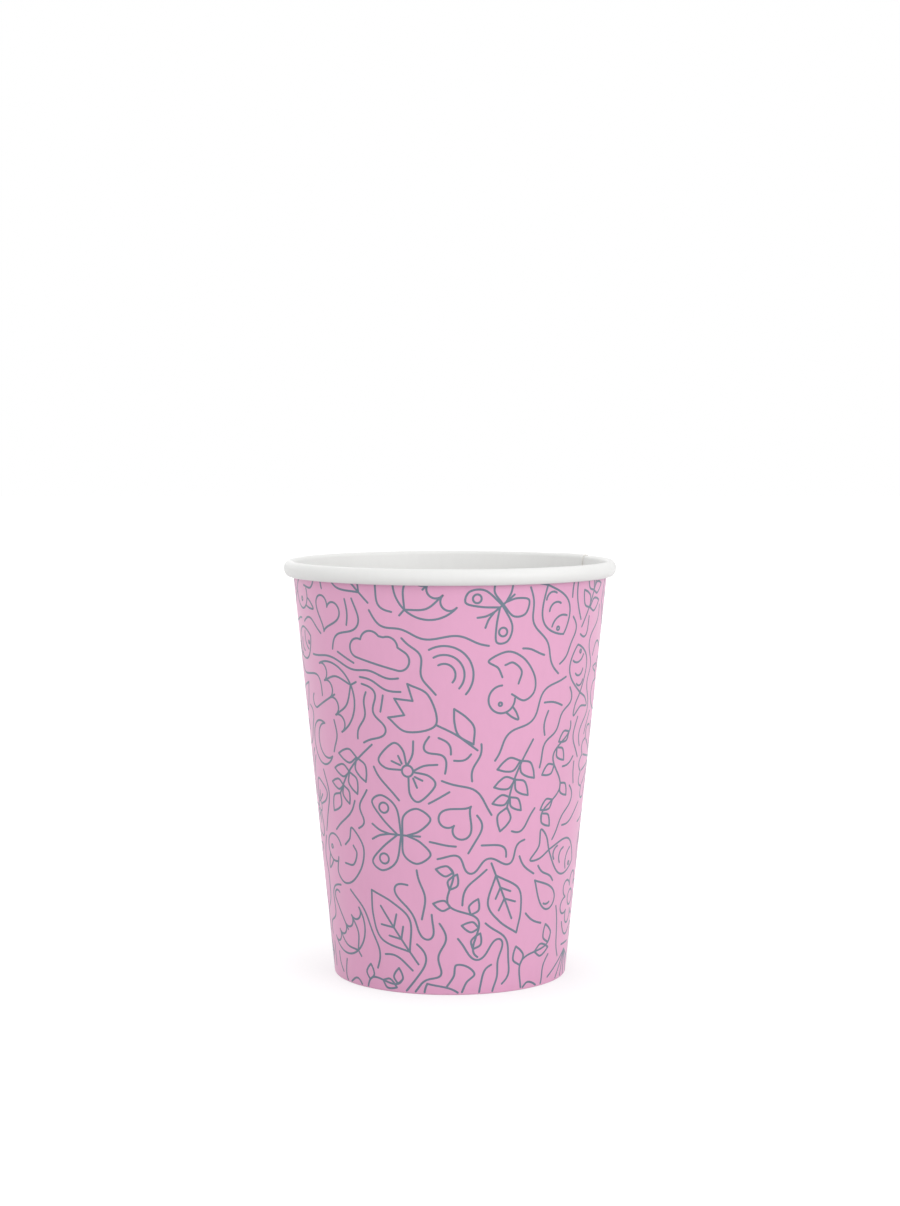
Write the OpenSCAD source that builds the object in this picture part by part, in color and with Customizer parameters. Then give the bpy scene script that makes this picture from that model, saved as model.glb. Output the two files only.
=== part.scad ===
/* [Cup] */
// Outer diameter over the rolled rim
rim_d = 70.3; // [62:0.1:90]
// Height from the foot to the top of the roll
cup_h = 88; // [60:0.5:140]
// Outer diameter of the wall's slope where it meets the floor
foot_d = 49.3; // [42:0.1:56]
// Thickness of the wall's paper
wall_t = 0.3; // [0.22:0.01:0.36]

/* [Rolled rim] */
// Height of the roll
roll_h = 3.3; // [2.9:0.1:4]
// Width of the roll, from the wall's inner face outwards
roll_w = 2.1; // [1.9:0.1:2.4]
// Roundness of the roll's top and bottom, where 1 is a half circle
roll_round = 0.85; // [0.75:0.01:0.95]
// Angle that the paper's edge turns on inside the roll
tuck_turn = 140; // [60:5:170]
// Gap between the tucked edge and the side seam
tuck_gap = 0.05; // [0.03:0.01:0.1]

/* [Side seam] */
// Width of the overlap
lap_w = 7; // [4:0.5:12]
// Rise of the overlap above the paper on each side
lap_rise = 0.15; // [0.05:0.01:0.2]
// Direction of the seam, from +X towards +Y
seam_angle = 35; // [0:1:360]

/* [Hem and bottom] */
// Height of the wall's hem, folded in and up round the skirt
hem_h = 6; // [4:0.5:10]
// Inner radius of the hem's two corners
fold_r = 0.03; // [0.01:0.01:0.04]
// Thickness of the disc's paper
disc_t = 0.3; // [0.22:0.01:0.4]
// Inner radius of the bend between disc and skirt
bend_r = 0.8; // [0.4:0.1:2]
// Height left between the hem's edge and the bend
hem_clear = 0.9; // [0.3:0.1:3]
// Clearance between the skirt and the paper round it
skirt_gap = 0.03; // [0.02:0.01:0.05]

/* [Hidden] */
$fn = 96;

// Steps along a small bend and along a large one
few = 4;
many = 12;

foot_r = foot_d / 2;
rim_r = rim_d / 2;

// The roll's outline: a bend at top and bottom, joined by a wider bulge that faces outwards
curl_r = roll_round * roll_w / 2;
curl_rise = roll_h / 2 - curl_r;
bulge_turn = 2 * atan((roll_w - 2 * curl_r) / curl_rise);
bulge_r = curl_r + curl_rise / sin(bulge_turn);
bulge_x = rim_r - bulge_r;
curl_x = bulge_x + (bulge_r - curl_r) * cos(bulge_turn);
roll_mid = cup_h - roll_h / 2;
roll_foot = cup_h - roll_h;

// The wall leans so that it leaves the foot and meets the top bend without a kink
reach = [curl_x - foot_r, cup_h - curl_r];
lean = acos((curl_r - wall_t) / norm(reach)) - atan2(reach.y, reach.x);

// The tucked edge turns on a circle that stops short of the wall's overlap
tuck_room = cos(lean) * (curl_x - foot_r) - sin(lean) * roll_foot;
tuck_r = (tuck_room - lap_rise - tuck_gap) / (1 + sin(lean));

// The foot holds three layers: wall, skirt and hem
foot_w = 2 * wall_t + disc_t + 2 * skirt_gap;
corner_r = fold_r + wall_t;
recess_h = hem_h + hem_clear + bend_r + disc_t;

// Radius, at height z, of a surface that lies depth inside the wall's printed face
function wall_r(z, depth) = foot_r + (z * sin(lean) - depth) / cos(lean);

// Points of an arc, taken clockwise when to is the smaller angle
function arc(centre, r, from, to, steps) =
    [for (i = [0 : steps]) let (a = from + (to - from) * i / steps) centre + r * [cos(a), sin(a)]];

function reversed(points) = [for (i = [len(points) - 1 : -1 : 0]) points[i]];

// The hem and fold, as a line that lies depth inside the paper's printed face
function hem_line(depth) = concat(
    [[wall_r(hem_h, foot_w - depth), hem_h]],
    arc([wall_r(corner_r, foot_w - corner_r), corner_r], corner_r - depth, 180 - lean, 270, few),
    arc([wall_r(corner_r, corner_r), corner_r], corner_r - depth, 270, 360 - lean, few)
);

// The roll without its tucked edge. The paper's printed face lies inside it
function roll_line(depth) = concat(
    arc([curl_x, cup_h - curl_r], curl_r - wall_t + depth, 180 - lean, bulge_turn, many),
    arc([bulge_x, roll_mid], bulge_r - wall_t + depth, bulge_turn, -bulge_turn, many),
    arc([curl_x, roll_foot + curl_r], curl_r - wall_t + depth, -bulge_turn, -90, few)
);

function tuck_line(depth) =
    arc([curl_x, roll_foot + tuck_r], tuck_r - wall_t + depth, -90, -90 - tuck_turn, many);

function wall_line(depth) = concat(hem_line(depth), roll_line(depth), tuck_line(depth));

// The disc, bend and skirt, as a line that lies depth under the disc's upper face
function disc_line(depth) =
    let (
        bend_z = recess_h - disc_t - bend_r,
        inset = wall_t + skirt_gap,
        skirt_foot = wall_t + skirt_gap
    )
    concat(
        [[0, recess_h - depth]],
        arc([wall_r(bend_z, inset + disc_t + bend_r), bend_z], bend_r + disc_t - depth, 90, -lean, many),
        [[wall_r(skirt_foot, inset + depth), skirt_foot]]
    );

// One sheet of paper turned about the cup's axis, between its two faces
module turned_sheet(face, back) {
    rotate_extrude() polygon(concat(face, reversed(back)));
}

// The second layer where the wall's two edges overlap. Inside, it starts above the bottom disc
module side_lap() {
    lap_foot = recess_h + skirt_gap;
    core = wall_t / 2;
    inside = wall_t + lap_rise;
    intersection() {
        turned_sheet(
            concat([[wall_r(corner_r, -lap_rise), corner_r]], roll_line(-lap_rise)),
            concat(
                [[wall_r(corner_r, core), corner_r], [wall_r(lap_foot, core), lap_foot]],
                [[wall_r(lap_foot, inside), lap_foot]],
                roll_line(inside)
            )
        );
        rotate([0, 0, seam_angle]) translate([0, -lap_w / 2, 0]) cube([rim_d, lap_w, cup_h + roll_h]);
    }
}

// The wrapped blank: hem, fold, sloping wall and rolled rim in one sheet
module side_wall() {
    color("#e4a9c8") union() {
        turned_sheet(wall_line(0), wall_line(wall_t));
        side_lap();
    }
}

// The pressed disc, with its skirt turned down between the wall and the hem
module bottom_disc() {
    color("#f4f3f0") turned_sheet(disc_line(0), disc_line(disc_t));
}

side_wall();
bottom_disc();
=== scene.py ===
"""A paper bathroom cup: a printed side wall with a rolled rim and a straight seam, and a bottom disc."""

import math

import bpy
import numpy as np
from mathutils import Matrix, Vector

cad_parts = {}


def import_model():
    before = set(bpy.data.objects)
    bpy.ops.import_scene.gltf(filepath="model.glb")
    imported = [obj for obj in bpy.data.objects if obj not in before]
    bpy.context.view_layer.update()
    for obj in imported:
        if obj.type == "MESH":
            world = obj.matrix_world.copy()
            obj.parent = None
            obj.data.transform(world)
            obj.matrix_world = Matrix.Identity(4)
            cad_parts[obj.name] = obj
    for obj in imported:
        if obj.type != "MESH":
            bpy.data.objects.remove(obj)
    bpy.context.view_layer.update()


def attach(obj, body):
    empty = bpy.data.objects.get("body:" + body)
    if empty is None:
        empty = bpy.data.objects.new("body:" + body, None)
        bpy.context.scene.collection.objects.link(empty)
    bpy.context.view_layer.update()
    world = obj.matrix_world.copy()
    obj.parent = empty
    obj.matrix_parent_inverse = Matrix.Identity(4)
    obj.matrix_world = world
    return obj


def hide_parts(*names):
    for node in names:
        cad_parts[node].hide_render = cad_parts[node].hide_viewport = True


# Sizes in millimetres, as in the part's source
RIM_R = 35.15
CUP_H = 88.0
FOOT_R = 24.65
PAPER = 0.3
ROLL_H = 3.3
ROLL_W = 2.1
ROLL_ROUND = 0.85
TUCK_TURN = 140.0
TUCK_GAP = 0.05
LAP_W = 7.0
LAP_RISE = 0.15
SEAM_AT = math.radians(35.0)
HEM_H = 6.0
FOLD_R = 0.03
DISC_PAPER = 0.3
BEND_R = 0.8
HEM_CLEAR = 0.9
SKIRT_GAP = 0.03

# How far from each end of the sheet the paper starts to lift over the other end
LAP_RUN = 4.0
# Air between the overlapping ends, and how high the foot is lifted by their double thickness
LAP_GAP = 0.005
FOOT_LIFT_H = 4.0
# How far above the disc the lift is shared between the inside and the outside
SHARE_H = 6.0
# How far the wall is out of round at the rim, and the depth of its dents
OUT_OF_ROUND = 0.07
DENT = 0.03
# Print: half a line's width, and how far the line lies above the paper
LINE_HALF = 0.22
LINE_LIFT = 0.012
# Longest step along a printed line, and most that it turns in one step
LINE_STEP = 1.0
LINE_TURN = math.radians(12)
# A turn in radians that counts as a sharp corner, and the steps in each span of a curve
SHARP_TURN = 0.7
SPAN_STEPS = 14

# Colours as linear values
PINK = (0.785, 0.394, 0.592)
INK = (0.16, 0.215, 0.275)
BOARD = (0.825, 0.823, 0.812)
EDGE = (0.78, 0.765, 0.73)
# The floor's grey: what it throws back at the cup, and what the camera sees under its own glow
FLOOR_BOUNCE = 0.64
FLOOR_SEEN = 0.42


# The wall's outline

CURL_R = ROLL_ROUND * ROLL_W / 2
CURL_RISE = ROLL_H / 2 - CURL_R
BULGE_TURN = 2 * math.atan((ROLL_W - 2 * CURL_R) / CURL_RISE)
BULGE_R = CURL_R + CURL_RISE / math.sin(BULGE_TURN)
BULGE_X = RIM_R - BULGE_R
CURL_X = BULGE_X + (BULGE_R - CURL_R) * math.cos(BULGE_TURN)
ROLL_FOOT = CUP_H - ROLL_H
REACH = (CURL_X - FOOT_R, CUP_H - CURL_R)
LEAN = math.acos((CURL_R - PAPER) / math.hypot(*REACH)) - math.atan2(REACH[1], REACH[0])
SIN, COS = math.sin(LEAN), math.cos(LEAN)
TUCK_ROOM = COS * (CURL_X - FOOT_R) - SIN * ROLL_FOOT
TUCK_R = (TUCK_ROOM - LAP_RISE - TUCK_GAP) / (1 + SIN)
FOOT_W = 2 * PAPER + DISC_PAPER + 2 * SKIRT_GAP
CORNER_R = FOLD_R + PAPER
RECESS_H = HEM_H + HEM_CLEAR + BEND_R + DISC_PAPER
# Slant distance from the cone's apex to the foot
APEX = FOOT_R / SIN


def wall_r(z, depth=0.0):
    """Radius at height z of the surface that lies depth inside the printed face."""
    return FOOT_R + (z * SIN - depth) / COS


def bend(centre, radius, start, end, steps, outward):
    """Rows of an arc about centre: the printed face's place (r, z), and the way from there to the back."""
    a = np.linspace(start, end, steps + 1)
    way = np.column_stack([np.cos(a), np.sin(a)])
    return np.hstack([np.array(centre) + radius * way, way if outward else -way])


def straight(start, end, steps, way):
    """Rows of a straight stretch, without its end points."""
    t = np.linspace(0, 1, steps + 1)[1:-1, None]
    place = np.array(start) * (1 - t) + np.array(end) * t
    return np.hstack([place, np.broadcast_to(way, place.shape)])


def wall_rows():
    """Rows of the printed face from the hem's edge, down, round the foot, up the wall and round the roll."""
    to_axis = np.array([-COS, SIN])
    down = 1.5 * math.pi
    inner_mid = (wall_r(CORNER_R, FOOT_W - CORNER_R), CORNER_R)
    outer_mid = (wall_r(CORNER_R, CORNER_R), CORNER_R)
    tuck_end = -math.pi / 2 - math.radians(TUCK_TURN)
    hem_edge = np.array([[wall_r(HEM_H, FOOT_W), HEM_H, COS, -SIN]])
    inner = bend(inner_mid, CORNER_R, math.pi - LEAN, down, 4, False)
    outer = bend(outer_mid, CORNER_R, down, 2 * math.pi - LEAN, 4, False)
    top = bend((CURL_X, CUP_H - CURL_R), CURL_R - PAPER, math.pi - LEAN, BULGE_TURN, 14, True)
    bulge = bend((BULGE_X, CUP_H - ROLL_H / 2), BULGE_R - PAPER, BULGE_TURN, -BULGE_TURN, 12, True)
    under = bend((CURL_X, ROLL_FOOT + CURL_R), CURL_R - PAPER, -BULGE_TURN, -math.pi / 2, 4, True)
    tuck = bend((CURL_X, ROLL_FOOT + TUCK_R), TUCK_R - PAPER, -math.pi / 2, tuck_end, 12, True)
    hem = straight(hem_edge[0, :2], inner[0, :2], 9, -to_axis)
    side = straight(outer[-1, :2], top[0, :2], 44, to_axis)
    rows = np.vstack([hem_edge, hem, inner, outer, side, top, bulge[1:], under[1:], tuck[1:]])
    print_from = len(hem) - 2
    side_from = 1 + len(hem) + len(inner) + len(outer)
    return rows, print_from, side_from


def smooth(x):
    """A ramp from 0 to 1 whose slope is 0 at both ends."""
    x = np.clip(x, 0.0, 1.0)
    return x * x * (3 - 2 * x)


def lap_depth(s, length, z, above):
    """How deep the printed face lies at the sheet's ends: the starting end sinks and the finishing end lifts
    over it. In the foot, where the hem and the disc leave no room, the finishing end takes the whole lift."""
    free = np.where(above, smooth((z - RECESS_H) / SHARE_H), 0.0)
    under = 1 - smooth((s - LAP_W) / LAP_RUN)
    over = smooth((s - (length - LAP_W - LAP_RUN)) / LAP_RUN)
    return 0.5 * PAPER * free * under - (PAPER * (1 - 0.5 * free) + LAP_GAP) * over


def lap_lift(s, length, z):
    """How far the seam stands up in the foot: both ends rise by the paper under the fold, so that the outer
    one lies flat on the floor and the inner one on top of it. It fades out a few millimetres up."""
    under = 1 - smooth((s - LAP_W) / LAP_RUN)
    over = smooth((s - (length - LAP_W - LAP_RUN)) / LAP_RUN)
    return (PAPER + LAP_GAP) * np.maximum(under, over) * (1 - smooth(z / FOOT_LIFT_H))


def sag(angle, z):
    """The small ways in which the wall isn't a true cone: an oval that grows with height, as a cosine of
    twice the angle, and shallow dents at half height, as a sine of three times the angle."""
    up = np.clip(z / CUP_H, 0, 1)
    oval = OUT_OF_ROUND * up * np.cos(2 * angle + 0.6)
    return oval + DENT * np.sin(3 * angle + 1.1 + 2 * up) * np.sin(np.pi * up)


def sheet_place(r, z, way_r, way_z, s, length, depth, above):
    """Places on the rolled sheet: round the axis by the distance s along the paper, and depth along the
    paper's own way through it."""
    angle = (s - LAP_W / 2) / r
    deep = depth + lap_depth(s, length, z, above)
    out = r + deep * way_r + sag(angle, z)
    high = z + deep * way_z + lap_lift(s, length, z)
    turn = angle + SEAM_AT
    return np.stack([out * np.cos(turn), out * np.sin(turn), high], axis=-1)


# Meshes

# Heights in the wall's UV picture: face, hem's edge, printed lines, tuck's edge, back and the two ends
FACE_SPAN = 0.34
HEM_AT = 0.35
LINES_AT = 0.36
LINES_SPAN = 0.24
TUCK_AT = 0.61
BACK_AT = 0.62
END_AT = 0.97
START_AT = 0.985
STRIP_SPAN = 0.006


def mesh_object(name, verts, faces, slots, uvs, materials, sharp=38.0):
    """Puts vertices in millimetres, faces, their material numbers and their corners' UV places into a mesh
    object, with edges sharp from that angle in degrees."""
    mesh = bpy.data.meshes.new(name)
    mesh.from_pydata((np.asarray(verts) / 1000).tolist(), [], faces)
    mesh.polygons.foreach_set("material_index", np.asarray(slots, np.int32))
    layer = mesh.uv_layers.new(name="OFBake")
    layer.data.foreach_set("uv", np.asarray(uvs, np.float32).ravel())
    mesh.polygons.foreach_set("use_smooth", np.ones(len(faces), bool))
    mesh.set_sharp_from_angle(angle=math.radians(sharp))
    for material in materials:
        mesh.materials.append(material)
    mesh.update()
    piece = bpy.data.objects.new(name, mesh)
    bpy.context.scene.collection.objects.link(piece)
    return piece


def grid_faces(rows, columns, start=0):
    """Quads between neighbours on a grid of rows by columns."""
    i = np.arange(rows - 1)[:, None] * columns + np.arange(columns - 1) + start
    return np.stack([i, i + 1, i + columns + 1, i + columns], axis=-1).reshape(-1, 4)


# Print

def even(points):
    """Splits a fine polyline at its sharp corners, and spaces each part by length and by turn."""
    points = points[np.insert(np.hypot(*np.diff(points, axis=0).T) > 1e-6, 0, True)]
    ways = np.diff(points, axis=0)
    heading = np.arctan2(ways[:, 1], ways[:, 0])
    turns = np.abs((np.diff(heading) + np.pi) % (2 * np.pi) - np.pi)
    parts = []
    for part in np.split(np.arange(len(points)), np.nonzero(turns > SHARP_TURN)[0] + 1):
        last = min(part[-1] + 1, len(points) - 1)
        own = np.append(part, last) if last > part[-1] else part
        if len(own) < 2:
            continue
        bare = points[own]
        inner = np.concatenate([[0], turns[own[1:-1] - 1], [0]])
        cost = np.hypot(*np.diff(bare, axis=0).T) / LINE_STEP + 0.5 * (inner[:-1] + inner[1:]) / LINE_TURN
        reach = np.concatenate([[0], np.cumsum(cost)])
        at = np.linspace(0, reach[-1], max(2, math.ceil(reach[-1]) + 1))
        parts.append(np.column_stack([np.interp(at, reach, bare[:, k]) for k in (0, 1)]))
    return parts


def curve(*points):
    """A smooth curve through the points: each span is a cubic whose end slopes are half the chord between
    the neighbours."""
    p = np.array(points, float)
    p = np.vstack([2 * p[0] - p[1], p, 2 * p[-1] - p[-2]])
    t = np.linspace(0, 1, SPAN_STEPS, endpoint=False)[:, None]
    a, b, c, d = (p[k:len(p) - 3 + k, None, :] for k in range(4))
    square = (2 * a - 5 * b + 4 * c - d) * t**2
    cube = (3 * b - a - 3 * c + d) * t**3
    spans = 0.5 * (2 * b + (c - a) * t + square + cube)
    return np.vstack([spans.reshape(-1, 2), p[-2]])


def arc(x, y, r, start=0.0, end=360.0):
    """Points on a circle about (x, y), from one angle in degrees to another."""
    a = np.radians(np.linspace(start, end, max(4, math.ceil(abs(end - start) / 8) + 1)))
    return np.column_stack([x + r * np.cos(a), y + r * np.sin(a)])


def joined(*points):
    """Straight lines from point to point."""
    return np.array(points, float)


def round_shape(radius, count=160):
    """A closed curve whose radius is a function of the angle."""
    a = np.linspace(0, 2 * np.pi, count + 1)
    return np.column_stack([radius(a) * np.cos(a), radius(a) * np.sin(a)])


def placed(strokes, x=0.0, y=0.0, degrees=0.0, size=1.0):
    """The strokes sized, turned and moved."""
    c, s = math.cos(math.radians(degrees)), math.sin(math.radians(degrees))
    return [size * p @ np.array([[c, s], [-s, c]]) + (x, y) for p in strokes]


def blade(length, width):
    """A pointed leaf from the origin along +Y."""
    side = curve((0, 0), (width, 0.36 * length), (0.72 * width, 0.7 * length), (0, length))
    return [side, side * (-1, 1)]


def leaf():
    """A pointed leaf with a mid rib and four veins."""
    veins = [joined((0, y), (w, y + 1.5)) for y, w in ((-2.6, 1.5), (-0.4, 1.7), (-2.6, -1.5), (-0.4, -1.7))]
    return placed(blade(11.5, 3.1), y=-5.0) + [joined((0, -7.4), (0, 3.6))] + veins


def sprig():
    """A bent stem with three pairs of small leaves and one at its tip."""
    out = [curve((-1.4, -8.2), (-0.3, -4), (0.2, 0), (0, 4.2))]
    for y, size in ((-4.2, 1.0), (-0.9, 0.9), (2.2, 0.75)):
        for side in (-1, 1):
            out += placed(blade(4.4, 1.15), 0.0, y, -58 * side, size)
    return out + placed(blade(4.2, 1.2), y=4.0)


def daisy():
    """A flower of six petals: the radius swells with the sine of three times the angle."""
    return [arc(0, 0, 1.5), round_shape(lambda a: 2.6 + 2.4 * np.abs(np.sin(3 * a)) ** 0.6)]


def tulip():
    """A tulip with a zigzag crown, a stem and one leaf."""
    cup = curve((-3.1, 6.2), (-3.3, 2.6), (0, -0.6), (3.3, 2.6), (3.1, 6.2))
    crown = joined((-3.1, 6.2), (-1.3, 4.2), (0, 6.8), (1.3, 4.2), (3.1, 6.2))
    return [cup, crown, curve((0, -0.6), (0.2, -4), (-0.3, -8))] + placed(blade(6.2, 1.3), 0.2, -7.0, -32)


def drop():
    """A drop, sine across and cosine up, drawn thin towards its tip, with a short glint."""
    t = np.linspace(0, 2 * np.pi, 72)
    outline = np.column_stack([2.9 * np.sin(t) * np.sin(t / 2) ** 1.4, 3.9 * np.cos(t)])
    return [outline, arc(0, -1.1, 1.5, 195, 262)]


def heart():
    """A heart: sine cubed across, and a sum of four cosines up."""
    t = np.linspace(0, 2 * np.pi, 90)
    y = 13 * np.cos(t) - 5 * np.cos(2 * t) - 2 * np.cos(3 * t) - np.cos(4 * t)
    return [0.2 * np.column_stack([16 * np.sin(t) ** 3, y + 2])]


def bubbles():
    """Three rings that touch, each with a glint."""
    out = []
    for x, y, r in ((-1.6, -1.0, 3.0), (2.9, 1.2, 1.8), (0.1, 3.7, 1.25)):
        out += [arc(x, y, r), arc(x, y, 0.58 * r, 105, 165)]
    return out


def cloud():
    """A cloud of four round bumps over a flat foot."""
    left = [arc(-4.3, -0.7, 1.7, 270, 85), arc(-1.9, 1.0, 2.1, 180, 50)]
    right = [arc(1.5, 1.1, 1.9, 125, 15), arc(4.1, -0.6, 1.8, 75, -90)]
    return [np.vstack([*left, *right, left[0][:1]])]


def fish():
    """A fish of two sine arches, with a tail, a gill, an eye and two scales."""
    t = np.linspace(0, 1, 40)
    back = np.column_stack([-5.4 + 9.0 * t, 3.0 * np.sin(np.pi * t**0.85)])
    tail = curve((3.6, 0.0), (5.2, 1.9), (7.0, 2.6), (6.2, 0.0), (7.0, -2.6), (5.2, -1.9), (3.6, 0.0))
    scales = [arc(-1.2, 0, 1.5, -60, 60), arc(0.9, 0, 1.3, -60, 60)]
    return [back, back * (1, -1), tail, arc(-4.6, 0, 2.4, -48, 48), arc(-3.9, 0.75, 0.28)] + scales


def shell():
    """A fan shell: its reach swells five times along the edge, over four ribs and a hinge."""
    a = np.linspace(-1, 1, 90)
    reach = 7.6 + 1.1 * np.abs(np.cos(2.5 * np.pi * a))
    edge = np.column_stack([reach * np.sin(a), reach * np.cos(a) - 4.4])
    ribs = [joined((0, -4.4), (7.0 * math.sin(k), 7.0 * math.cos(k) - 4.4)) for k in (-0.6, -0.2, 0.2, 0.6)]
    return [np.vstack([(0, -4.4), edge, (0, -4.4)]), joined((-1.9, -5.6), (1.9, -5.6))] + ribs


def waves():
    """Three short sine waves, one under another."""
    t = np.linspace(-6.5, 6.5, 60)
    rows = ((2.2, 0.8), (0.0, 1.0), (-2.2, 0.7))
    return [np.column_stack([t * cut, y + 0.75 * np.sin(1.45 * t * cut)]) for y, cut in rows]


def arches():
    """Three half rings about one middle."""
    return [arc(0, -2.2, r, 8, 172) for r in (2.0, 3.6, 5.2)]


def umbrella():
    """A half round canopy with a scalloped hem, two ribs, a tip and a hooked handle."""
    out = [arc(0, -1.4, 6.0, 0, 180)] + [arc(x, -1.4, 1.5, 180, 0) for x in (-4.5, -1.5, 1.5, 4.5)]
    ribs = [curve((s * 3.0, -1.4), (s * 2.5, 2.0), (0, 4.6)) for s in (-1, 1)]
    hook = np.vstack([joined((0, 0.1), (0, -6.4)), arc(-1.2, -6.4, 1.2, 0, -170)])
    return out + ribs + [hook, joined((0, 4.6), (0, 5.9))]


def starfish():
    """A soft star of five arms, as a cosine of five times the angle, with three dots."""
    dots = [arc(1.6 * math.cos(k), 1.6 * math.sin(k), 0.3) for k in (0.3, 2.4, 4.4)]
    return [round_shape(lambda a: 3.5 + 1.7 * np.cos(5 * a))] + dots


def butterfly():
    """A butterfly: two wings and a feeler on each side of a straight body, with a ring on each upper wing."""
    upper = curve((0, 0.6), (2.3, 3.2), (4.7, 5.0), (5.9, 3.2), (4.2, 0.8), (0, 0.0))
    lower = curve((0, -0.2), (3.0, -0.4), (4.3, -2.5), (2.8, -4.6), (0.9, -3.0), (0, -0.9))
    half = [upper, lower, curve((0, 1.9), (0.4, 3.6), (1.2, 5.0)), arc(4.0, 2.9, 0.8)]
    return half + [p * (-1, 1) for p in half] + [joined((0, 1.9), (0, -3.0))]


def mushroom():
    """A mushroom with a half round cap, two spots and a waisted stem."""
    cap = [arc(0, 0, 4.8, 0, 180), curve((-4.8, 0), (0, -1.3), (4.8, 0))]
    stem = curve((-1.5, -1.1), (-1.3, -3.6), (-1.9, -5.6), (0, -6.3), (1.9, -5.6), (1.3, -3.6), (1.5, -1.1))
    return cap + [stem, arc(-1.9, 1.7, 0.8), arc(1.6, 2.5, 1.0)]


def sun():
    """A ring with ten rays."""
    return [arc(0, 0, 2.1)] + [placed([joined((3.1, 0), (4.8, 0))], degrees=36 * k)[0] for k in range(10)]


def duck():
    """A duck with a round head, a beak, an eye and a folded wing."""
    breast = ((-1.9, 1.0), (-4.3, -0.2), (-4.4, -2.6), (-2.2, -4.2))
    tail = ((1.6, -4.3), (4.6, -2.6), (5.4, 1.0), (3.4, 0.4), (1.6, 0.7))
    body = curve(*breast, *tail)
    wing = curve((-1.2, -1.0), (0.2, -2.7), (2.4, -2.3), (3.0, -0.9))
    beak = curve((-3.8, 3.6), (-5.2, 3.2), (-6.3, 2.5), (-5.0, 2.1), (-3.8, 2.1))
    return [body, wing, beak, arc(-1.5, 2.9, 2.4, -35, 235), arc(-2.0, 3.6, 0.3)]


def bow():
    """A tied bow: a knot, two loops with folds, and two tails."""
    loop = curve((0.8, 0.6), (3.2, 2.7), (5.2, 2.4), (5.2, -1.6), (3.2, -2.1), (0.8, -0.6))
    half = [loop, curve((0.7, -0.7), (1.4, -2.8), (2.9, -4.6))]
    folds = [joined((1.6, 0.2), (3.2, 0.9)), joined((1.6, -0.2), (3.0, -0.7))]
    return [arc(0, 0, 1.0)] + half + folds + [p * (-1, 1) for p in half + folds]


def loops():
    """A row of loops: a long cycloid."""
    t = np.linspace(-0.4, 5.0 * np.pi + 0.4, 240)
    x = 1.1 * t - 2.1 * np.sin(t)
    return [np.column_stack([x - x.mean(), -2.1 * np.cos(t)])]


def vine():
    """A sine wave with leaves on both sides by turns."""
    t = np.linspace(-8.5, 8.5, 60)
    out = [np.column_stack([t, 1.7 * np.sin(0.62 * t)])]
    for k, x in enumerate((-6.8, -3.9, -1.0, 1.9, 4.8, 7.3)):
        out += placed(blade(3.1, 0.9), x, 1.7 * math.sin(0.62 * x), -90 + (52 if k % 2 else -52))
    return out


def moon():
    """A crescent between two arcs."""
    return [np.vstack([arc(0, 0, 4.0, 50, 310), arc(1.8, 0, 3.16, 284.1, 75.9)])]


# Each motif with the circles that it needs (x, y, radius), and how many to place
MOTIFS = (
    (umbrella, ((0, 1.2, 6.3), (-0.4, -5.8, 2.2)), 5),
    (butterfly, ((0, 0.6, 6.0),), 5),
    (shell, ((0, -0.6, 5.9),), 6),
    (fish, ((-1.8, 0, 3.9), (4.8, 0, 3.0)), 8),
    (leaf, ((0, -3.6, 3.4), (0, 2.6, 3.2)), 7),
    (sprig, ((0, -3.4, 4.6), (0, 3.6, 4.4)), 6),
    (tulip, ((0, 3.3, 4.2), (0.8, -4.2, 3.4)), 6),
    (mushroom, ((0, 1.0, 5.2), (0, -4.0, 2.9)), 5),
    (duck, ((0, -1.6, 5.2), (-2.0, 2.8, 3.4)), 5),
    (vine, ((-6.4, 0, 3.3), (-2, 0, 3.5), (2, 0, 3.5), (6.4, 0, 3.3)), 5),
    (loops, ((-6.3, 0, 2.6), (-2.2, 0, 2.8), (2.2, 0, 2.8), (6.3, 0, 2.6)), 6),
    (bow, ((-2.9, -0.6, 3.5), (2.9, -0.6, 3.5)), 5),
    (daisy, ((0, 0, 5.2),), 7),
    (starfish, ((0, 0, 5.3),), 5),
    (cloud, ((-3.4, 0.2, 3.2), (1.0, 0.6, 3.6), (3.6, 0, 2.9)), 6),
    (waves, ((-3.8, 0, 3.3), (0, 0, 3.4), (3.8, 0, 3.3)), 6),
    (sun, ((0, 0, 4.9),), 5),
    (arches, ((0, 0.2, 5.0),), 6),
    (bubbles, ((0, 0.6, 4.9),), 7),
    (moon, ((0, 0, 4.2),), 6),
    (heart, ((0, 0, 3.9),), 9),
    (drop, ((0, 0, 4.0),), 10),
)

# How much the motifs are enlarged, and the room left between them
MOTIF_SIZES = (1.1, 1.4)
MOTIF_ROOM = 0.2
PLACE_TRIES = 400
PRINT_SEED = 11

# Free lines between the motifs: how far they keep from other lines, their step, and the longest
LINE_ROOM = 1.35
GROW_STEP = 0.7
GROW_MOST = 34
# Fewest steps that a line needs, and how many tries are made for lines so long
GROW_LEAST = (36, 22, 12, 7, 5)
GROW_TRIES = (900, 900, 1200, 1400, 600)
# Turns in radians by which a line gives way, and how often it is smoothed
GROW_GIVES = (0, 0.12, -0.12, 0.24, -0.24, 0.4, -0.4)
GROW_SMOOTH = 14


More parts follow.
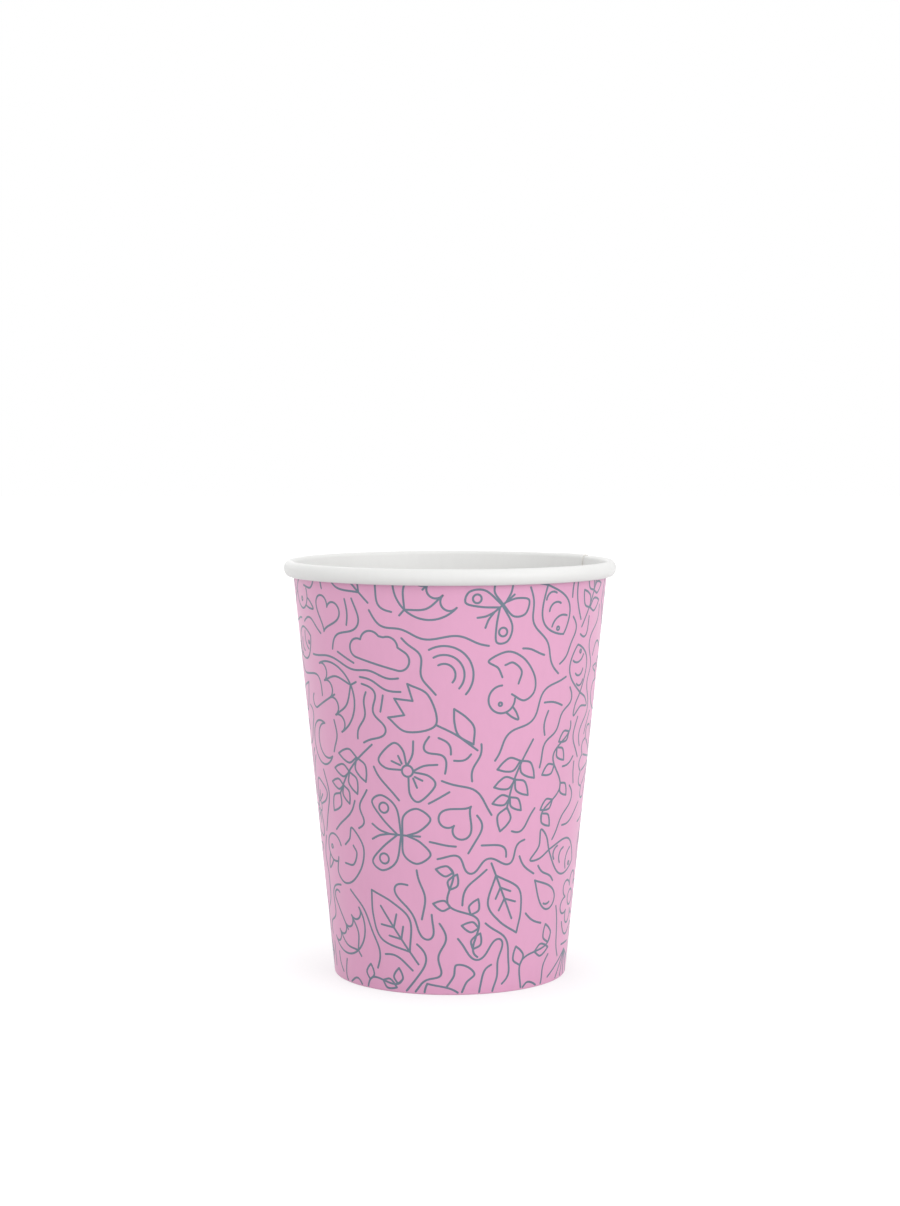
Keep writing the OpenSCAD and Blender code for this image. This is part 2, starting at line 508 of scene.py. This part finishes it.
def scattered(rng, near, far, half_angle):
    """Places the motifs, large ones first, each where its circles clear all that lie there already."""
    taken = np.empty((0, 3))
    strokes = []
    for motif, room, count in MOTIFS:
        room = np.array(room, float)
        art = [part for stroke in motif() for part in even(stroke)]
        for _ in range(count):
            for _ in range(PLACE_TRIES):
                rho = math.sqrt(rng.uniform((near - 2) ** 2, (far + 2) ** 2))
                phi = rng.uniform(-half_angle, half_angle)
                angle, size = rng.uniform(0, 360), rng.uniform(*MOTIF_SIZES)
                x, y = rho * math.sin(phi), rho * math.cos(phi)
                spots = placed([room[:, :2]], x, y, angle, size)[0]
                radii = size * room[:, 2]
                apart = np.hypot(spots[:, None, 0] - taken[:, 0], spots[:, None, 1] - taken[:, 1])
                if (apart < radii[:, None] + taken[:, 2] + MOTIF_ROOM).any():
                    continue
                taken = np.vstack([taken, np.column_stack([spots, radii])])
                strokes += placed(art, x, y, angle, size)
                break
    return strokes, taken


def grown(rng, strokes, rooms, near, far, half_angle):
    """Free lines that wander through the room between the motifs: each grows both ways from its first point,
    swings left and right along a slow sine, gives way where another line comes near, and ends where nothing
    else helps. Long ones come first."""
    halves = [[s[:-1], s[:-1] + (s[1:] - s[:-1]) * 0.5, s[-1:]] for s in strokes]
    taken = np.vstack([np.vstack(parts) for parts in halves])
    found = []
    for least in np.repeat(GROW_LEAST, GROW_TRIES):
        rho = math.sqrt(rng.uniform(near**2, far**2))
        phi = rng.uniform(-half_angle, half_angle)
        spot = rho * np.array([math.sin(phi), math.cos(phi)])
        if (np.hypot(*(rooms[:, :2] - spot).T) < rooms[:, 2] - 0.4).any():
            continue
        nearby = taken[np.hypot(*(taken - spot).T) < GROW_MOST * GROW_STEP + LINE_ROOM]
        if len(nearby) and np.hypot(*(nearby - spot).T).min() < LINE_ROOM + 0.2:
            continue
        first, swing = rng.uniform(0, 2 * math.pi), rng.uniform(0.22, 0.5)
        beat, start = rng.uniform(0.22, 0.5), rng.uniform(0, 2 * math.pi)
        walk = [spot]
        for heading in (first, first + math.pi):
            for step in range(GROW_MOST):
                own = np.array(walk[:-3]) if len(walk) > 3 else np.empty((0, 2))
                others = np.vstack([nearby, own])
                wish = heading + swing * math.sin(beat * step + start)
                for give in GROW_GIVES:
                    way = np.array([math.cos(wish + give), math.sin(wish + give)])
                    ahead = walk[-1] + GROW_STEP * way
                    if not len(others) or np.hypot(*(others - ahead).T).min() > LINE_ROOM:
                        heading = wish + give
                        walk.append(ahead)
                        break
                else:
                    break
            walk.reverse()
        if len(walk) > least:
            path = np.array(walk)
            for _ in range(GROW_SMOOTH):
                path[1:-1] = (path[:-2] + 2 * path[1:-1] + path[2:]) / 4
            found += even(curve(*path))
            taken = np.vstack([taken, path])
    return found


def clipped(strokes, near, far):
    """Keeps the parts of the strokes that lie on the printed blank: between the foot and the roll, and
    between the seam's two edges. The sheet's far edge shows, so the lines end on it."""
    kept = []
    shares = np.linspace(0, 1, 6, endpoint=False)[:, None]
    for stroke in strokes:
        fine = stroke[:-1, None] + (stroke[1:, None] - stroke[:-1, None]) * shares
        fine = np.vstack([fine.reshape(-1, 2), stroke[-1:]])
        rho = np.hypot(*fine.T)
        s = (np.arctan2(fine[:, 0], fine[:, 1]) / SIN + math.pi) * rho * SIN + LAP_W / 2
        end = 2 * math.pi * rho * SIN + LAP_W
        fits = (rho > near) & (rho < far) & (s > LAP_W + 0.25) & (s < end - LINE_HALF)
        if fits.all():
            kept.append(stroke)
            continue
        cuts = np.nonzero(np.diff(fits.astype(int)))[0] + 1
        for part in np.split(np.arange(len(fine)), cuts):
            if fits[part[0]] and np.hypot(*(fine[part[-1]] - fine[part[0]])) > 1:
                kept += even(fine[part])
    return kept


def print_strokes():
    """The print's lines on the unrolled blank: motifs, and free lines between them."""
    rng = np.random.default_rng(PRINT_SEED)
    near, far = APEX + 0.5, APEX + 86.0 / COS
    half_angle = math.pi * SIN + 0.012
    strokes, rooms = scattered(rng, near, far, half_angle)
    strokes += grown(rng, strokes, rooms, near, far, half_angle)
    return clipped(strokes, near, far)


# Pieces

def ribbons(strokes):
    """Flat ribbons along the strokes: each point moves half a line's width to both sides, and half a disc
    closes each end. Gives the flat points and the faces."""
    points, faces, start = [], [], 0
    round_end = np.radians(np.array([45.0, 90.0, 135.0]))
    for stroke in strokes:
        along = np.gradient(stroke, axis=0)
        along /= np.maximum(np.hypot(*along.T)[:, None], 1e-9)
        across = np.column_stack([-along[:, 1], along[:, 0]]) * LINE_HALF
        count = len(stroke)
        sides, ends = np.cos(round_end)[:, None], LINE_HALF * np.sin(round_end)[:, None]
        head = stroke[0] + across[0] * sides - along[0] * ends
        tail = stroke[-1] + across[-1] * sides + along[-1] * ends
        points += [stroke + across, stroke - across, head, tail]
        left = start + np.arange(count)
        right = left + count
        h, t = start + 2 * count, start + 2 * count + 3
        faces += np.column_stack([right[:-1], right[1:], left[1:], left[:-1]]).tolist()
        faces += [[left[0], h, h + 2, right[0]], [h, h + 1, h + 2]]
        faces += [[right[-1], t + 2, t, left[-1]], [t + 2, t + 1, t]]
        start += 2 * count + 6
    return np.vstack(points), faces


def print_places(flat):
    """Carries flat points of the unrolled blank on to the rolled sheet, a little above its printed face.
    A point's distance from the fan's centre gives its height, and its angle there the turn round the cup."""
    slant = np.hypot(flat[:, 0], flat[:, 1])
    r, z = slant * SIN, (slant - APEX) * COS
    turn = np.arctan2(flat[:, 0], flat[:, 1]) / SIN + math.pi
    s = turn * r + LAP_W / 2
    places = sheet_place(r, z, -COS, SIN, s, 2 * math.pi * r + LAP_W, -LINE_LIFT, True)
    uv = np.column_stack([turn / (2 * math.pi) * 0.95 + 0.02, LINES_AT + LINES_SPAN * z / CUP_H])
    return places, uv


def side_wall(materials):
    """The sheet: its printed face and its back are one grid each, rows along the outline and columns along
    the paper. Four strips close it along its cut edges, and the printed lines lie on it as ribbons. The
    materials are the printed face, the lines, the white back and the cut edges."""
    rows, print_from, side_from = wall_rows()
    n = len(rows)
    r, z, way_r, way_z = (rows[:, k, None] for k in range(4))
    end_zone = np.concatenate([np.linspace(0, 6, 7), np.linspace(6, 12, 11)[1:]])
    middle = np.linspace(0, 1, 190)[1:-1]
    length = 2 * math.pi * r + LAP_W
    s = np.hstack([np.broadcast_to(end_zone, (n, 17)), 12 + (length - 24) * middle, length - end_zone[::-1]])
    m = s.shape[1]
    above = (np.arange(n) >= side_from)[:, None]
    face = sheet_place(r, z, way_r, way_z, s, length, 0.0, above)
    back = sheet_place(r, z, way_r, way_z, s, length, PAPER, above)
    run = np.concatenate([[0], np.cumsum(np.hypot(*np.diff(rows[:, :2], axis=0).T))])
    u = 0.01 + 0.98 * s / length
    v = np.broadcast_to((FACE_SPAN * run / run[-1])[:, None], u.shape)

    a = np.arange(n * m).reshape(n, m)
    b = a + n * m
    front = grid_faces(n, m)
    rear = grid_faces(n, m, n * m)[:, ::-1]
    uv_face = np.stack([u, v], axis=-1).reshape(-1, 2)
    uv_back = uv_face + (0, BACK_AT)
    edges = (
        (b[0], a[0], HEM_AT),
        (a[-1], b[-1], TUCK_AT),
        (b[:, -1], a[:, -1], END_AT),
        (a[:, 0], b[:, 0], START_AT),
    )
    strips = []
    for low, high, at in edges:
        quads = np.column_stack([low[:-1], low[1:], high[1:], high[:-1]])
        along = np.linspace(0.01, 0.99, len(low))
        corner = np.column_stack([along[:-1], along[1:], along[1:], along[:-1]])
        lift = np.broadcast_to((at, at, at + STRIP_SPAN, at + STRIP_SPAN), corner.shape)
        strips.append((quads, np.stack([corner, lift], axis=-1).reshape(-1, 2)))
    flat, line_faces = ribbons(print_strokes())
    lines, uv_line = print_places(flat)
    faces = front.tolist() + rear.tolist()
    uvs = [uv_face[front.ravel()], uv_back[rear.ravel() - n * m]]
    inked = np.where(np.repeat(np.arange(n - 1), m - 1) >= print_from, 0, 2)
    slots = [inked, np.full(len(rear), 2)]
    for quads, uv in strips:
        faces += quads.tolist()
        uvs.append(uv)
        slots.append(np.full(len(quads), 3))
    base = 2 * n * m
    faces += [[base + i for i in f] for f in line_faces]
    uvs.append(uv_line[np.concatenate([np.array(f) for f in line_faces])])
    slots.append(np.full(len(line_faces), 1))
    verts = np.vstack([face.reshape(-1, 3), back.reshape(-1, 3), lines])
    return mesh_object("side_wall_paper", verts, faces, np.concatenate(slots), np.vstack(uvs), materials)


def bottom_disc(materials):
    """The disc and its skirt, turned: rows run from the middle over the bend and down the skirt, columns go
    round. Fine press folds run over the bend, as cosines of the angle that fade into disc and skirt."""
    inset = PAPER + SKIRT_GAP
    bend_z = RECESS_H - DISC_PAPER - BEND_R
    centre_r = wall_r(bend_z, inset + DISC_PAPER + BEND_R)
    radii = np.array([1.5, 5, 9, 13, 16, 18.5, 20.5, 21.8])
    flat = np.column_stack([radii, np.full(len(radii), RECESS_H)])
    flat = np.hstack([flat, np.broadcast_to((0.0, -1.0), flat.shape)])
    turn = bend((centre_r, bend_z), BEND_R + DISC_PAPER, math.pi / 2, -LEAN, 8, False)
    foot_z = inset + PAPER
    skirt = straight(turn[-1, :2], (wall_r(foot_z, inset), foot_z), 6, (-COS, SIN))
    foot = np.array([[wall_r(foot_z, inset), foot_z, -COS, SIN]])
    rows = np.vstack([flat, turn, skirt, foot])
    n, m = len(rows), 288
    angle = np.arange(m) * 2 * math.pi / m
    near_bend = np.exp(-(((rows[:, 0] - centre_r) / 1.6) ** 2)) * (rows[:, 1] > bend_z)
    fold = 0.05 * near_bend[:, None] * (0.5 + 0.5 * np.cos(48 * angle + 2 * np.sin(5 * angle)))
    sides = []
    for depth in (0.0, DISC_PAPER):
        out = rows[:, 0, None] + depth * rows[:, 2, None]
        high = rows[:, 1, None] + depth * rows[:, 3, None] - fold
        high = np.broadcast_to(high, (n, m))
        sides.append(np.stack([out * np.cos(angle), out * np.sin(angle), high], axis=-1))
    middles = [[0, 0, RECESS_H], [0, 0, RECESS_H - DISC_PAPER]]
    verts = np.vstack([sides[0].reshape(-1, 3), sides[1].reshape(-1, 3), middles])
    ring = np.arange(m)
    after = (ring + 1) % m
    i = np.arange(n - 1)[:, None] * m
    quads = np.stack([i + ring, i + m + ring, i + m + after, i + after], axis=-1).reshape(-1, 4)
    low = quads[:, ::-1] + n * m
    last = (n - 1) * m
    edge = np.column_stack([last + ring, last + n * m + ring, last + n * m + after, last + after])
    caps = np.column_stack([np.full(m, 2 * n * m), ring, after]).tolist()
    caps += np.column_stack([np.full(m, 2 * n * m + 1), after + n * m, ring + n * m]).tolist()
    run = np.concatenate([[0], np.cumsum(np.hypot(*np.diff(rows[:, :2], axis=0).T))]) + rows[0, 0]
    spot = run[:, None] / run[-1] * 0.24
    upper = np.stack([0.25 + spot * np.cos(angle), 0.25 + spot * np.sin(angle)], axis=-1).reshape(-1, 2)
    uv = np.vstack([upper, upper + (0.5, 0.5), [[0.25, 0.25], [0.75, 0.75]]])
    faces = quads.tolist() + low.tolist() + edge.tolist() + caps
    slots = np.concatenate([np.zeros(2 * len(quads), int), np.ones(len(edge), int), np.zeros(2 * m, int)])
    corners = np.concatenate([np.array(f) for f in faces])
    uvs = uv[corners]
    first = 8 * len(quads)
    strip = np.column_stack([ring / m, ring / m, (ring + 1) / m, (ring + 1) / m])
    lift = np.broadcast_to((0.96, 0.97, 0.97, 0.96), strip.shape)
    uvs[first:first + 4 * m] = np.stack([0.01 + 0.45 * strip, lift], axis=-1).reshape(-1, 2)
    return mesh_object("bottom_disc_paper", verts, faces, slots, uvs, materials)


# Materials

def node(tree, kind, **settings):
    """Adds a node of that kind and sets the attributes that are named."""
    made = tree.nodes.new(kind)
    for name, value in settings.items():
        setattr(made, name, value)
    return made


def paper_group():
    """Paper's own unevenness at three scales, in metres: clouds in the pulp, long fibres, and fine grain."""
    group = bpy.data.node_groups.new("paper", "ShaderNodeTree")
    for name, size in (("Grain size", 0.0006), ("Cloud size", 0.009)):
        made = group.interface.new_socket(name, in_out="INPUT", socket_type="NodeSocketFloat")
        made.default_value = size
    for name in ("Height", "Cloud", "Fibre"):
        group.interface.new_socket(name, in_out="OUTPUT", socket_type="NodeSocketFloat")
    entry, leave = node(group, "NodeGroupInput"), node(group, "NodeGroupOutput")
    place = node(group, "ShaderNodeTexCoord")
    kinds = (
        ("Grain size", 3.0, (1, 1, 1)),
        ("Cloud size", 2.0, (1, 1, 1)),
        ("Grain size", 2.0, (0.5, 0.5, 0.16)),
    )
    noises = []
    for size, detail, stretch in kinds:
        over = node(group, "ShaderNodeMath", operation="DIVIDE")
        over.inputs[0].default_value = 1.0
        group.links.new(entry.outputs[size], over.inputs[1])
        mapping = node(group, "ShaderNodeMapping")
        mapping.inputs["Scale"].default_value = stretch
        group.links.new(place.outputs["Object"], mapping.inputs["Vector"])
        noise = node(group, "ShaderNodeTexNoise")
        noise.inputs["Detail"].default_value = detail
        group.links.new(mapping.outputs[0], noise.inputs["Vector"])
        group.links.new(over.outputs[0], noise.inputs["Scale"])
        noises.append(noise.outputs["Fac"])
    grain, cloud_tone, fibre = noises
    blend = node(group, "ShaderNodeMix")
    blend.inputs["Factor"].default_value = 0.45
    group.links.new(grain, blend.inputs["A"])
    group.links.new(fibre, blend.inputs["B"])
    group.links.new(blend.outputs["Result"], leave.inputs["Height"])
    group.links.new(cloud_tone, leave.inputs["Cloud"])
    group.links.new(fibre, leave.inputs["Fibre"])
    return group


def paper_material(name, group, colour, spread, roughness, gloss, bump, grain=0.0006):
    """Paper of one colour: clouds and fibres shade it by spread, and the grain lifts its surface by bump
    metres."""
    material = bpy.data.materials.new(name)
    material.use_nodes = True
    tree = material.node_tree
    shader = tree.nodes["Principled BSDF"]
    shader.inputs["Specular IOR Level"].default_value = gloss
    paper = node(tree, "ShaderNodeGroup", node_tree=group)
    paper.inputs["Grain size"].default_value = grain
    tone = node(tree, "ShaderNodeMath", operation="ADD")
    tree.links.new(paper.outputs["Cloud"], tone.inputs[0])
    tree.links.new(paper.outputs["Fibre"], tone.inputs[1])
    share = node(tree, "ShaderNodeMapRange")
    share.inputs["From Min"].default_value = 0.7
    share.inputs["From Max"].default_value = 1.3
    tree.links.new(tone.outputs[0], share.inputs["Value"])
    mix = node(tree, "ShaderNodeMix", data_type="RGBA")
    mix.inputs["A"].default_value = (*[c * (1 - spread) for c in colour], 1)
    mix.inputs["B"].default_value = (*[min(1.0, c * (1 + spread)) for c in colour], 1)
    tree.links.new(share.outputs["Result"], mix.inputs["Factor"])
    tree.links.new(mix.outputs["Result"], shader.inputs["Base Color"])
    rough = node(tree, "ShaderNodeMapRange")
    rough.inputs["To Min"].default_value = roughness - 0.05
    rough.inputs["To Max"].default_value = roughness + 0.05
    tree.links.new(paper.outputs["Cloud"], rough.inputs["Value"])
    tree.links.new(rough.outputs["Result"], shader.inputs["Roughness"])
    raise_grain = node(tree, "ShaderNodeBump")
    raise_grain.inputs["Strength"].default_value = 1.0
    raise_grain.inputs["Distance"].default_value = bump
    tree.links.new(paper.outputs["Height"], raise_grain.inputs["Height"])
    tree.links.new(raise_grain.outputs["Normal"], shader.inputs["Normal"])
    return material


# Camera, floor and lights

def camera():
    """The photograph's viewpoint: just above the rim, half a metre away, looking slightly down."""
    data = bpy.data.cameras.new("camera")
    data.sensor_width = 36.0
    data.lens = 74.3
    made = bpy.data.objects.new("camera", data)
    made.location = (0, -0.527, 0.119)
    made.rotation_euler = (math.radians(90 - 4.37), 0, 0)
    bpy.context.scene.collection.objects.link(made)
    bpy.context.scene.camera = made


def seen_directly(tree):
    """1 for camera, glossy and transmission rays, and 0 for the rest."""
    path = node(tree, "ShaderNodeLightPath")
    first = node(tree, "ShaderNodeMath", operation="MAXIMUM")
    both = node(tree, "ShaderNodeMath", operation="MAXIMUM")
    tree.links.new(path.outputs["Is Camera Ray"], first.inputs[0])
    tree.links.new(path.outputs["Is Glossy Ray"], first.inputs[1])
    tree.links.new(first.outputs[0], both.inputs[0])
    tree.links.new(path.outputs["Is Transmission Ray"], both.inputs[1])
    return both.outputs[0]


def world(strength):
    """An even white surround that lights with strength and shows as plain white."""
    made = bpy.data.worlds.new("surround")
    bpy.context.scene.world = made
    made.use_nodes = True
    tree = made.node_tree
    back = tree.nodes["Background"]
    back.inputs["Color"].default_value = (1, 1, 1, 1)
    level = node(tree, "ShaderNodeMapRange")
    level.inputs["To Min"].default_value = strength
    level.inputs["To Max"].default_value = 1.0
    tree.links.new(seen_directly(tree), level.inputs["Value"])
    tree.links.new(level.outputs["Result"], back.inputs["Strength"])


def lamp(name, place, width, height, power):
    """A soft light of that width and height that faces the cup's middle."""
    data = bpy.data.lights.new(name, "AREA")
    data.shape = "RECTANGLE"
    data.size = width
    data.size_y = height
    data.energy = power
    made = bpy.data.objects.new(name, data)
    made.location = place
    made.rotation_euler = (Vector((0, 0, 0.05)) - Vector(place)).to_track_quat("-Z", "Y").to_euler()
    bpy.context.scene.collection.objects.link(made)


def floor():
    """A pale floor that keeps the cup's shadow. Its glow for the camera grows with the distance from the cup
    and is weakest by the foot, which is painted shade round the cup on top of its real shadow.
    """
    bpy.ops.mesh.primitive_plane_add(size=6, location=(0, 0, 0))
    made = bpy.context.object
    made.name = "floor"
    material = bpy.data.materials.new("pale_floor")
    material.use_nodes = True
    tree = material.node_tree
    shader = tree.nodes["Principled BSDF"]
    shader.inputs["Roughness"].default_value = 0.9
    shader.inputs["Specular IOR Level"].default_value = 0.0
    shader.inputs["Emission Color"].default_value = (1, 1, 1, 1)
    seen = seen_directly(tree)
    tone = node(tree, "ShaderNodeMix", data_type="RGBA")
    tone.inputs["A"].default_value = (FLOOR_BOUNCE, FLOOR_BOUNCE, FLOOR_BOUNCE, 1)
    tone.inputs["B"].default_value = (FLOOR_SEEN, FLOOR_SEEN, FLOOR_SEEN, 1)
    tree.links.new(seen, tone.inputs["Factor"])
    tree.links.new(tone.outputs["Result"], shader.inputs["Base Color"])
    place = node(tree, "ShaderNodeTexCoord")
    away = node(tree, "ShaderNodeVectorMath", operation="LENGTH")
    tree.links.new(place.outputs["Object"], away.inputs[0])
    # Painted shade: the glow that the camera sees falls from 0.85 away from the cup to 0.6 by its foot, so
    # the floor is drawn darker round the cup.
    level = node(tree, "ShaderNodeMapRange")
    level.inputs["From Min"].default_value = 0.024
    level.inputs["From Max"].default_value = 0.08
    level.inputs["To Min"].default_value = 0.6
    level.inputs["To Max"].default_value = 0.85
    tree.links.new(away.outputs["Value"], level.inputs["Value"])
    lift = node(tree, "ShaderNodeMath", operation="MULTIPLY")
    tree.links.new(seen, lift.inputs[0])
    tree.links.new(level.outputs["Result"], lift.inputs[1])
    tree.links.new(lift.outputs[0], shader.inputs["Emission Strength"])
    made.data.materials.append(material)


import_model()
camera()
world(0.88)
lamp("key", (0.62, -0.74, 0.45), 0.6, 0.6, 2.2)
lamp("side", (0.94, -0.28, 0.2), 0.12, 0.7, 0.8)
lamp("fill", (-0.5, -0.95, 0.3), 0.7, 0.7, 1.0)
lamp("back", (-0.35, 0.95, 0.55), 0.8, 0.8, 1.3)
floor()

bpy.context.scene.view_settings.view_transform = "Standard"

paper = paper_group()
printed = paper_material("printed_paper", paper, PINK, 0.014, 0.4, 0.4, 0.00001)
print_line = paper_material("print_line", paper, INK, 0.04, 0.4, 0.4, 0.00001)
board = paper_material("white_paper", paper, BOARD, 0.01, 0.42, 0.5, 0.00001)
cut = paper_material("cut_edge", paper, EDGE, 0.05, 0.7, 0.3, 0.00003, 0.0002)

wall = side_wall([printed, print_line, board, cut])
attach(wall, "root")
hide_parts("side_wall")

disc = bottom_disc([board, cut])
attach(disc, "root")
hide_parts("bottom_disc")
